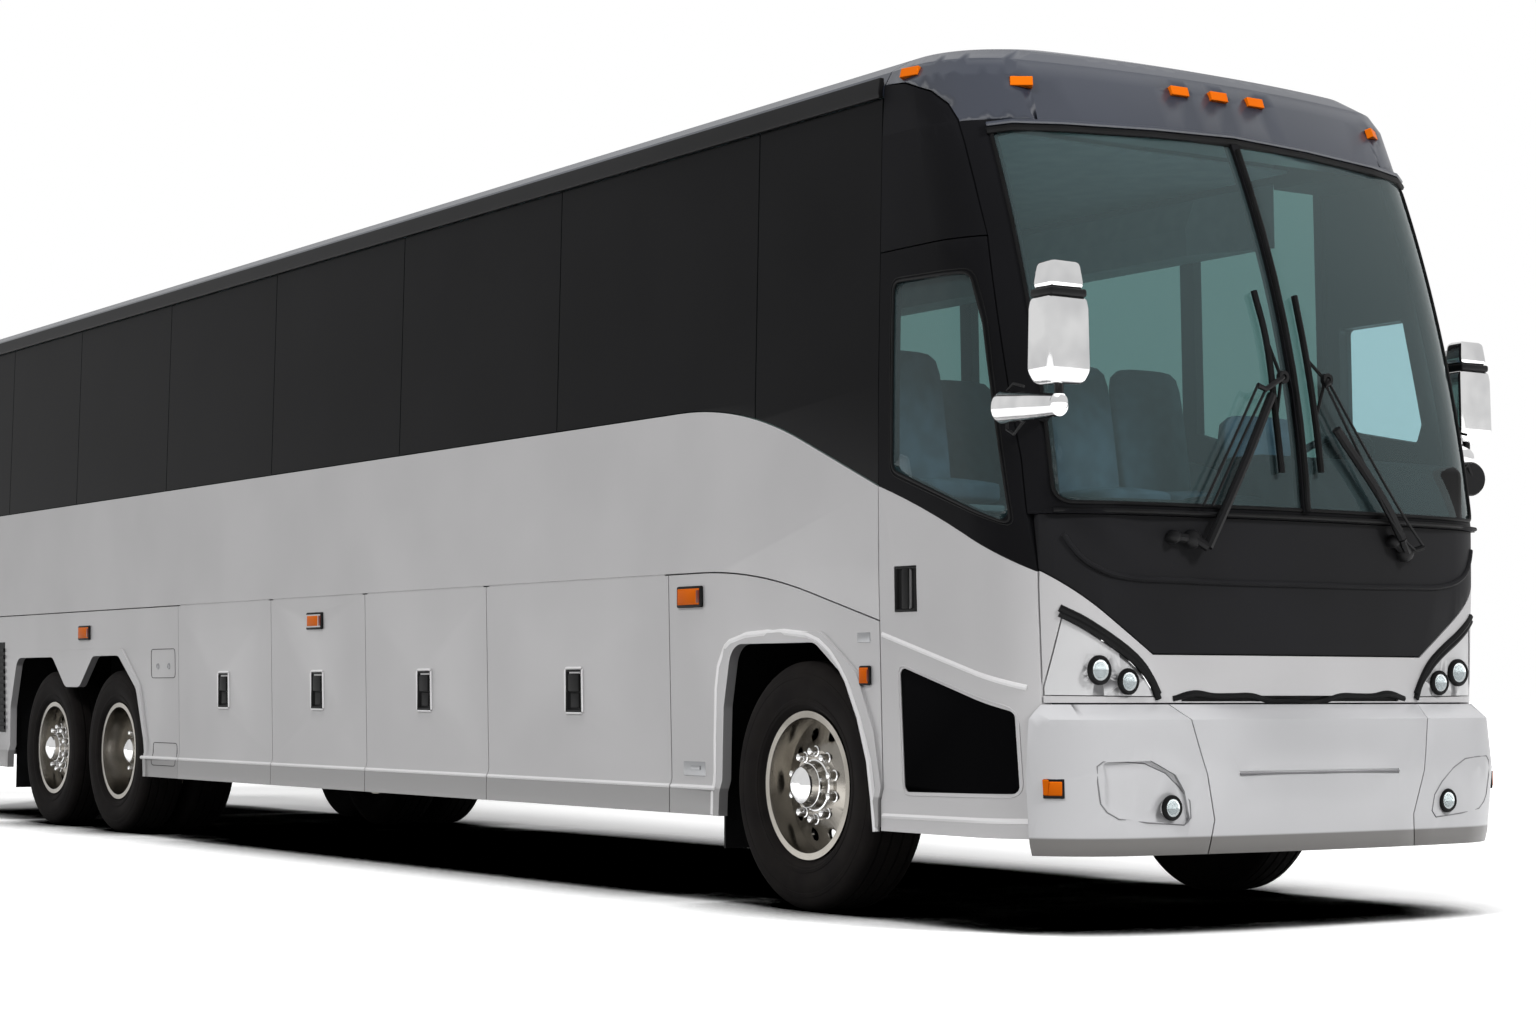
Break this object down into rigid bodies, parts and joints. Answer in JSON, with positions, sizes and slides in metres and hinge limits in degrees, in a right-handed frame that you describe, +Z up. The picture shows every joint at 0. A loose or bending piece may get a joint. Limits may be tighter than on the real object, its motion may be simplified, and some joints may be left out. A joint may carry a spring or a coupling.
{
  "type": "coach bus",
  "caption": "Three-axle intercity coach with a hollow body, steered front wheels, entrance door, luggage doors and engine door.",
  "frame": {"origin": "on the ground, in the middle of the overall length and width", "axes": "+X forward, +Y to the left side of the bus, +Z up"},
  "size_m": [14.1798, 3.255, 3.6],
  "materials": {
    "silver_paint": "satin metallic silver",
    "bumper_paint": "satin silver moulding",
    "charcoal_paint": "gloss charcoal",
    "black_gloss": "gloss black",
    "black_satin": "satin black",
    "black_plastic": "moulded, matte",
    "dark_glass": "privacy glass, nearly opaque",
    "clear_glass": "green tinted",
    "amber_lens": "ribbed lens",
    "red_lens": "ribbed lens",
    "lamp_lens": "clear cover",
    "frame_steel": "chassis black",
    "floor_grey": "ribbed floor covering",
    "engine_iron": "as cast",
    "chrome": "mirror chrome",
    "seat_fabric": "woven",
    "trim_plastic": "grained",
    "tyre": "rubber",
    "polished_alloy": "polished"
  },
  "bodies": {
    "body": {"belt_panels": "silver_paint", "cab_frame": "black_satin", "chassis_frame": "frame_steel", "corner_panels": "black_gloss", "dashboard": "trim_plastic", "driver_window": "clear_glass", "engine_block": "engine_iron", "floors": "floor_grey", "front_axle": "frame_steel", "front_bumper": "bumper_paint", "front_cap": "charcoal_paint", "front_fascia": "black_gloss", "front_lamps": "lamp_lens", "grilles": "black_plastic", "gutter_rails": "black_satin", "luggage_bays": "floor_grey", "marker_lamps": "amber_lens", "mirrors": "chrome", "nose_panel": "silver_paint", "parcel_racks": "trim_plastic", "quarter_panels": "silver_paint", "rear_axles": "frame_steel", "rear_bumper": "bumper_paint", "rear_panel": "silver_paint", "roof": "charcoal_paint", "seats": "seat_fabric", "side_glass": "dark_glass", "steering_wheel": "black_plastic", "tail_lamps": "red_lens", "wheel_housings": "black_plastic", "window_frame": "black_satin", "windscreen": "clear_glass", "windscreen_frame": "black_gloss", "wipers": "black_satin"},
    "entrance_door": {"entrance_door": "silver_paint", "door_glass": "clear_glass"},
    "engine_door": {"engine_door": "silver_paint"},
    "knuckle_right": {"knuckle_right": "frame_steel"},
    "knuckle_left": {"knuckle_left": "frame_steel"},
    "luggage_door_right_1": {"luggage_door_right_1": "silver_paint"},
    "luggage_door_left_1": {"luggage_door_left_1": "silver_paint"},
    "luggage_door_right_2": {"luggage_door_right_2": "silver_paint"},
    "luggage_door_left_2": {"luggage_door_left_2": "silver_paint"},
    "luggage_door_right_3": {"luggage_door_right_3": "silver_paint"},
    "luggage_door_left_3": {"luggage_door_left_3": "silver_paint"},
    "luggage_door_right_4": {"luggage_door_right_4": "silver_paint"},
    "luggage_door_left_4": {"luggage_door_left_4": "silver_paint"},
    "front_wheel_right": {"tyre_front_right": "tyre", "wheel_front_right": "polished_alloy"},
    "front_wheel_left": {"tyre_front_left": "tyre", "wheel_front_left": "polished_alloy"},
    "drive_wheel_right": {"tyre_drive_right": "tyre", "wheel_drive_right": "polished_alloy"},
    "drive_wheel_left": {"tyre_drive_left": "tyre", "wheel_drive_left": "polished_alloy"},
    "tag_wheel_right": {"tyre_tag_right": "tyre", "wheel_tag_right": "polished_alloy"},
    "tag_wheel_left": {"tyre_tag_left": "tyre", "wheel_tag_left": "polished_alloy"}
  },
  "joints": [
    {"name": "steer_right", "type": "hinge", "parent": "body", "child": "knuckle_right", "pos_m": [4.98, -0.98, 0.525], "axis": [0, 0, 1], "range_deg": [-48, 48]},
    {"name": "front_wheel_right_spin", "type": "hinge", "parent": "knuckle_right", "child": "front_wheel_right", "pos_m": [4.98, -1.113, 0.525], "axis": [0, 1, 0], "continuous": true},
    {"name": "drive_wheel_right_spin", "type": "hinge", "parent": "body", "child": "drive_wheel_right", "pos_m": [-3.02, -0.925, 0.525], "axis": [0, 1, 0], "continuous": true},
    {"name": "tag_wheel_right_spin", "type": "hinge", "parent": "body", "child": "tag_wheel_right", "pos_m": [-4.24, -1.1, 0.525], "axis": [0, 1, 0], "continuous": true},
    {"name": "steer_left", "type": "hinge", "parent": "body", "child": "knuckle_left", "pos_m": [4.98, 0.98, 0.525], "axis": [0, 0, 1], "range_deg": [-48, 48]},
    {"name": "front_wheel_left_spin", "type": "hinge", "parent": "knuckle_left", "child": "front_wheel_left", "pos_m": [4.98, 1.113, 0.525], "axis": [0, 1, 0], "continuous": true},
    {"name": "drive_wheel_left_spin", "type": "hinge", "parent": "body", "child": "drive_wheel_left", "pos_m": [-3.02, 0.925, 0.525], "axis": [0, 1, 0], "continuous": true},
    {"name": "tag_wheel_left_spin", "type": "hinge", "parent": "body", "child": "tag_wheel_left", "pos_m": [-4.24, 1.1, 0.525], "axis": [0, 1, 0], "continuous": true},
    {"name": "entrance_door_hinge", "type": "hinge", "parent": "body", "child": "entrance_door", "pos_m": [6.467, -1.245, 1.5], "axis": [0, 0, 1], "range_deg": [0, 90]},
    {"name": "engine_door_hinge", "type": "hinge", "parent": "body", "child": "engine_door", "pos_m": [-7.04395, 0, 1.7772], "axis": [0, 1, 0], "range_deg": [0, 80]},
    {"name": "luggage_door_right_1_hinge", "type": "hinge", "parent": "body", "child": "luggage_door_right_1", "pos_m": [3.085, -1.2922, 1.4442], "axis": [-1, 0, 0], "range_deg": [0, 85]},
    {"name": "luggage_door_left_1_hinge", "type": "hinge", "parent": "body", "child": "luggage_door_left_1", "pos_m": [3.085, 1.2922, 1.4442], "axis": [1, 0, 0], "range_deg": [0, 85]},
    {"name": "luggage_door_right_2_hinge", "type": "hinge", "parent": "body", "child": "luggage_door_right_2", "pos_m": [1.51, -1.2922, 1.4442], "axis": [-1, 0, 0], "range_deg": [0, 85]},
    {"name": "luggage_door_left_2_hinge", "type": "hinge", "parent": "body", "child": "luggage_door_left_2", "pos_m": [1.51, 1.2922, 1.4442], "axis": [1, 0, 0], "range_deg": [0, 85]},
    {"name": "luggage_door_right_3_hinge", "type": "hinge", "parent": "body", "child": "luggage_door_right_3", "pos_m": [0.185, -1.2922, 1.4442], "axis": [-1, 0, 0], "range_deg": [0, 85]},
    {"name": "luggage_door_left_3_hinge", "type": "hinge", "parent": "body", "child": "luggage_door_left_3", "pos_m": [0.185, 1.2922, 1.4442], "axis": [1, 0, 0], "range_deg": [0, 85]},
    {"name": "luggage_door_right_4_hinge", "type": "hinge", "parent": "body", "child": "luggage_door_right_4", "pos_m": [-1.145, -1.2922, 1.4442], "axis": [-1, 0, 0], "range_deg": [0, 85]},
    {"name": "luggage_door_left_4_hinge", "type": "hinge", "parent": "body", "child": "luggage_door_left_4", "pos_m": [-1.145, 1.2922, 1.4442], "axis": [1, 0, 0], "range_deg": [0, 85]}
  ],
  "couplings": [
    {"joint": "steer_left", "follows": "steer_right", "ratio": 1}
  ]
}
